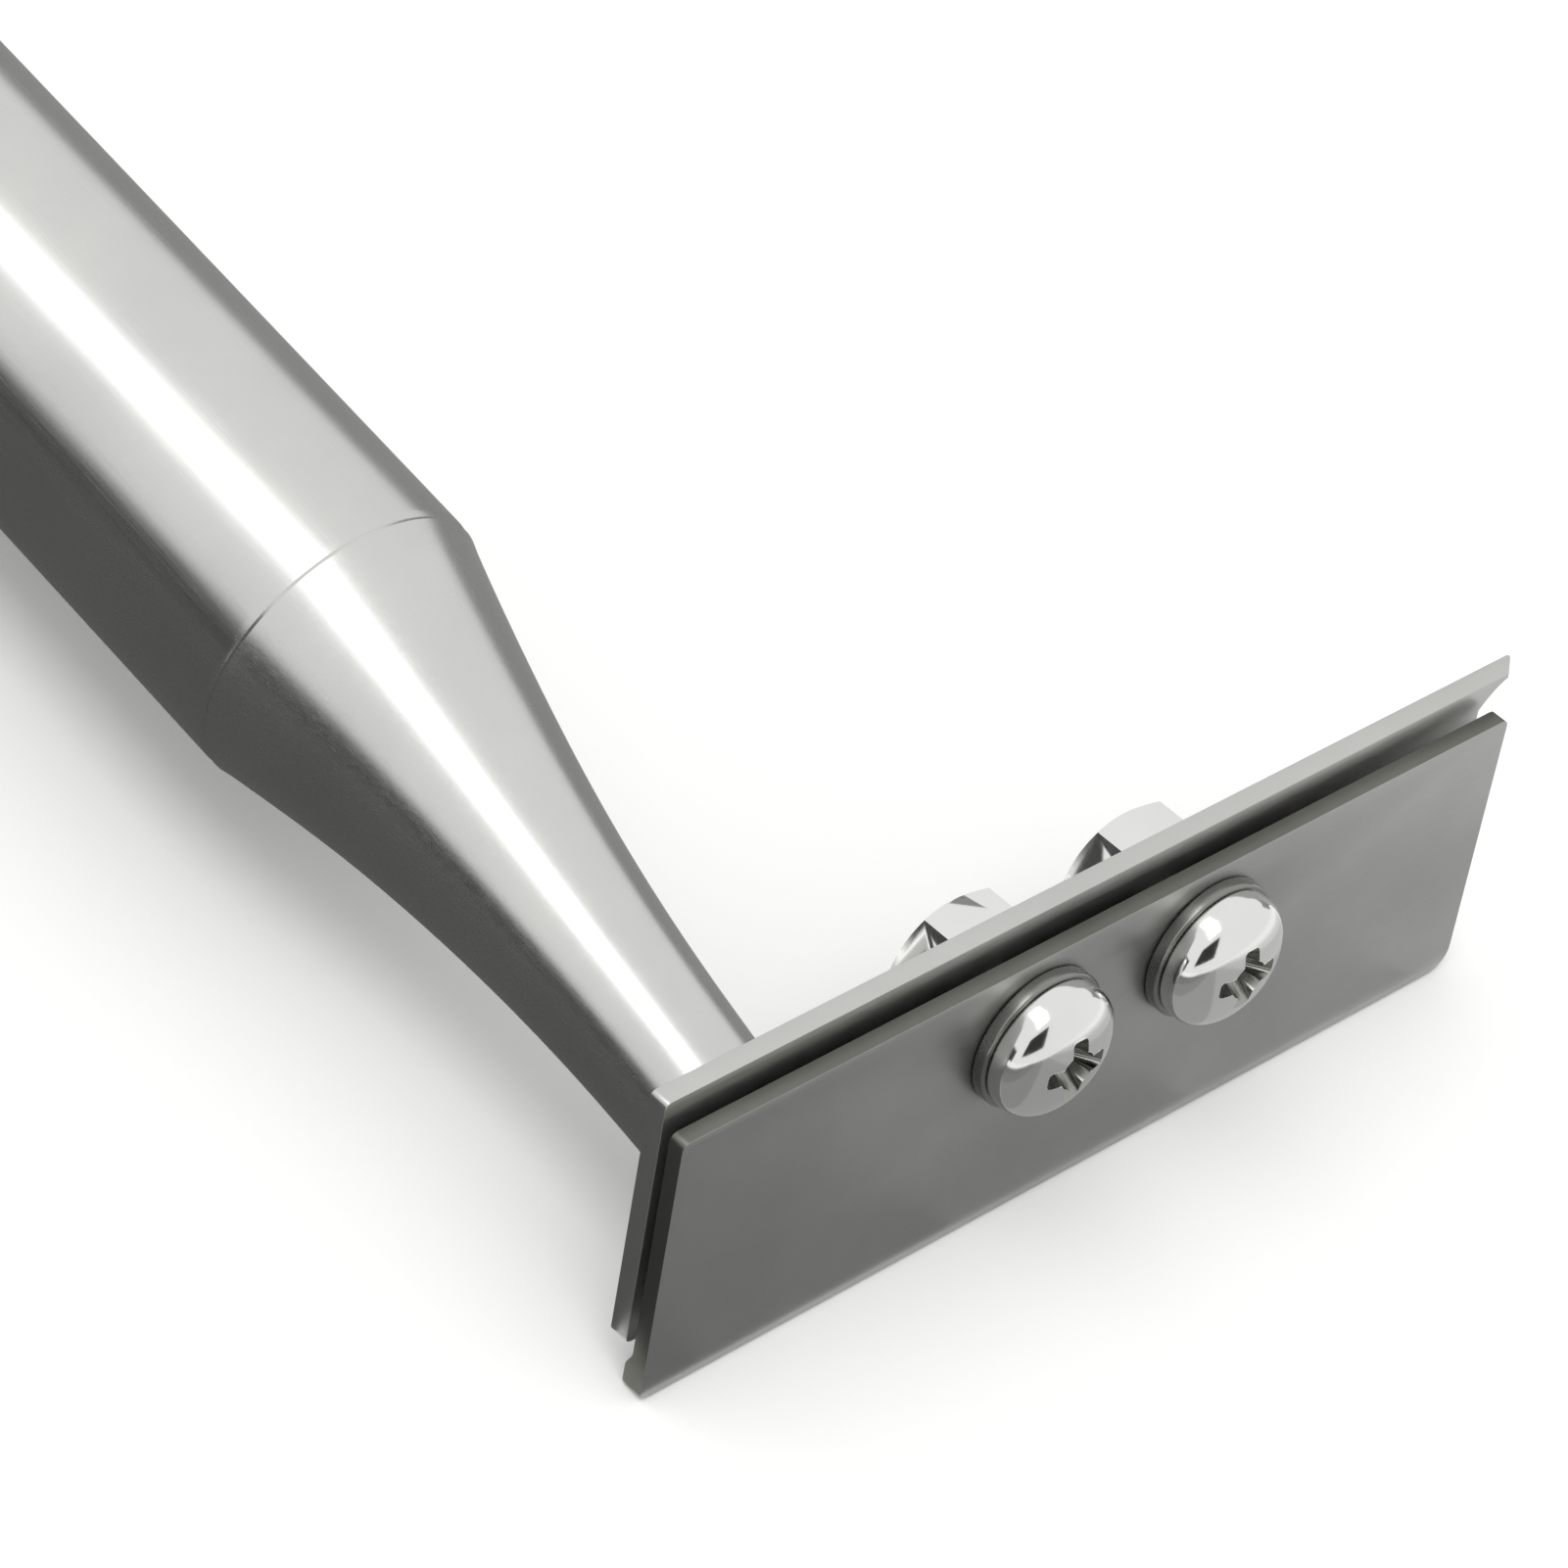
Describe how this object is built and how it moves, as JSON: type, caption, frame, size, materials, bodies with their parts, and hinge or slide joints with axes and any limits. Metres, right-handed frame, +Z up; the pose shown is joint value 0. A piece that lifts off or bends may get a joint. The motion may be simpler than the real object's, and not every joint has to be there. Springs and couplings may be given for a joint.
{
  "type": "blade scraper",
  "caption": "Pull scraper with a round steel tube handle, a tapered neck welded to a backing plate, and a screwed clamp plate that grips a straight blade in a narrow slot.",
  "frame": {"origin": "on the table under the middle of the scraper's box, with the scraper lying on the lower edge of its clamp plate and the far end of its handle", "axes": "+Z up, +Y from the head along the handle to its far end, +X to the right along the plates as seen from their front"},
  "size_m": [0.0634, 0.2344, 0.0222],
  "materials": {
    "sheet_steel": "fine satin sheet, dull grey",
    "tube_steel": "polished tube, softly blurred reflections",
    "weld_steel": "cleaned weld bead, satin",
    "plated_steel": "bright plated, mirror-like"
  },
  "bodies": {
    "handle": {"handle_tube": "tube_steel", "handle_end_cap": "tube_steel", "neck": "tube_steel", "neck_weld": "weld_steel", "back_plate": "sheet_steel", "nut_left": "plated_steel", "nut_right": "plated_steel"},
    "clamp": {"clamp_plate": "sheet_steel", "washer_left": "plated_steel", "washer_right": "plated_steel"},
    "screw_left": {"screw_left": "plated_steel"},
    "screw_right": {"screw_right": "plated_steel"}
  },
  "joints": [
    {"name": "clamp_travel", "type": "slide", "parent": "handle", "child": "clamp", "axis": [0, -0.9837, 0.18], "range_m": [-0.0005, 0.0032]},
    {"name": "screw_left_turn", "type": "hinge", "parent": "clamp", "child": "screw_left", "pos_m": [-0.00592, -0.11356, 0.01267], "axis": [0, -0.9837, 0.18], "range_deg": [-225, 1440]},
    {"name": "screw_right_turn", "type": "hinge", "parent": "clamp", "child": "screw_right", "pos_m": [0.00668, -0.11356, 0.01267], "axis": [0, -0.9837, 0.18], "range_deg": [-225, 1440]}
  ],
  "couplings": [
    {"joint": "screw_left_turn", "follows": "clamp_travel", "rad_per_m": 7854},
    {"joint": "screw_right_turn", "follows": "clamp_travel", "rad_per_m": 7854}
  ]
}
